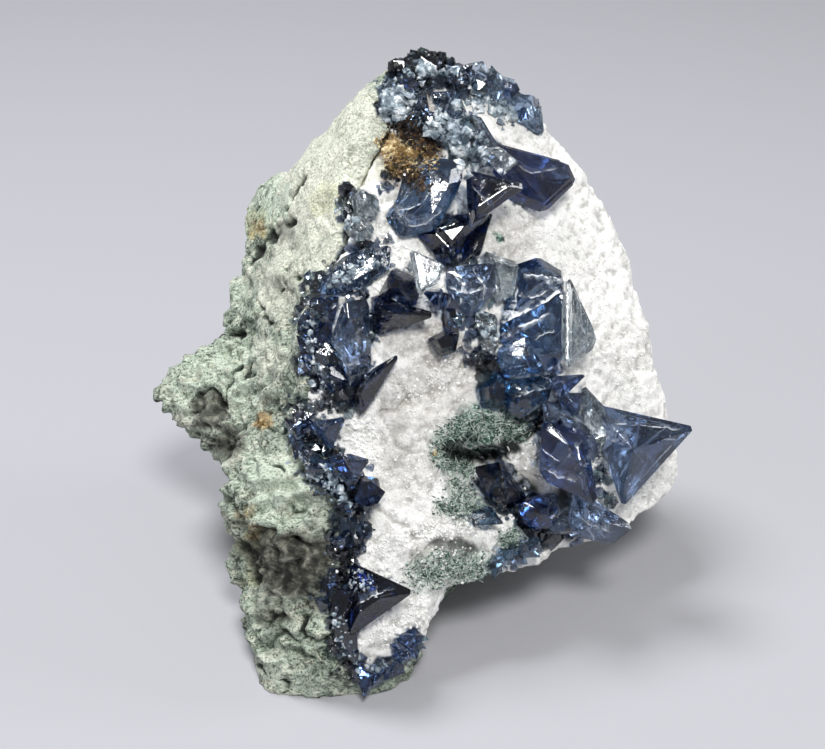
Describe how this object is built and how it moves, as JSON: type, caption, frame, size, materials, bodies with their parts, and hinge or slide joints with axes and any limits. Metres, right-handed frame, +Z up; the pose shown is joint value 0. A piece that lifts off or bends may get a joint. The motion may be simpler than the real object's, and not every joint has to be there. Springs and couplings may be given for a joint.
{
  "type": "benitoite on matrix",
  "caption": "Hand specimen of blue benitoite crystals on a white natrolite crust, backed by grey-green rock matrix that stands on its own flat foot.",
  "frame": {"origin": "on the flat foot the specimen stands on, under the middle of the rock", "axes": "+Z up, +X to the right and -Y towards the viewer of the crystal-bearing face"},
  "size_m": [0.0812, 0.0689, 0.0774],
  "materials": {
    "matrix": "rough grey-green schist, paler and dusty on the upper flank, darker in its hollows",
    "natrolite": "white sugary crust with ragged edges, grey in its hollows",
    "benitoite_deep": "clear navy crystal with flat shiny faces",
    "benitoite_blue": "clear sapphire-blue crystal with white fracture veils",
    "benitoite_teal": "blue-green crystal, etched and drusy",
    "benitoite_pale": "nearly colourless to pale blue crystal"
  },
  "bodies": {
    "root": {"matrix": "matrix", "natrolite_crust": "natrolite", "benitoite_big_plate": "benitoite_blue", "benitoite_big_pyramid": "benitoite_blue", "benitoite_bottom_edge": "benitoite_blue", "benitoite_bottom_triangle": "benitoite_deep", "benitoite_cap": "benitoite_teal", "benitoite_cap_2": "benitoite_teal", "benitoite_cap_3": "benitoite_teal", "benitoite_cap_4": "benitoite_teal", "benitoite_cap_5": "benitoite_teal", "benitoite_centre_dark": "benitoite_deep", "benitoite_centre_dark_2": "benitoite_deep", "benitoite_centre_hook": "benitoite_deep", "benitoite_centre_plate": "benitoite_pale", "benitoite_chin": "benitoite_teal", "benitoite_chin_2": "benitoite_teal", "benitoite_clear_chip": "benitoite_pale", "benitoite_clear_lower": "benitoite_pale", "benitoite_clear_plate": "benitoite_pale", "benitoite_clear_upper": "benitoite_pale", "benitoite_facets": "benitoite_teal", "benitoite_fan": "benitoite_blue", "benitoite_grey_blade": "benitoite_pale", "benitoite_hollow_dark": "benitoite_deep", "benitoite_hollow_left": "benitoite_teal", "benitoite_hollow_right": "benitoite_deep", "benitoite_left_beads": "benitoite_pale", "benitoite_left_blade": "benitoite_deep", "benitoite_left_druse": "benitoite_deep", "benitoite_left_large": "benitoite_blue", "benitoite_left_upper": "benitoite_deep", "benitoite_low_left": "benitoite_deep", "benitoite_low_left_2": "benitoite_deep", "benitoite_low_left_teal": "benitoite_teal", "benitoite_low_wedge": "benitoite_blue", "benitoite_rim": "benitoite_deep", "benitoite_rim_2": "benitoite_deep", "benitoite_round_blob": "benitoite_teal", "benitoite_spear": "benitoite_blue", "benitoite_spear_2": "benitoite_blue", "benitoite_top_right": "benitoite_deep", "benitoite_under_oval": "benitoite_deep", "benitoite_upper_grey": "benitoite_blue", "benitoite_upper_grey_2": "benitoite_blue", "benitoite_upper_oval": "benitoite_blue", "benitoite_wing": "benitoite_deep", "benitoite_wing_2": "benitoite_deep", "benitoite_wing_back": "benitoite_blue"}
  },
  "joints": []
}
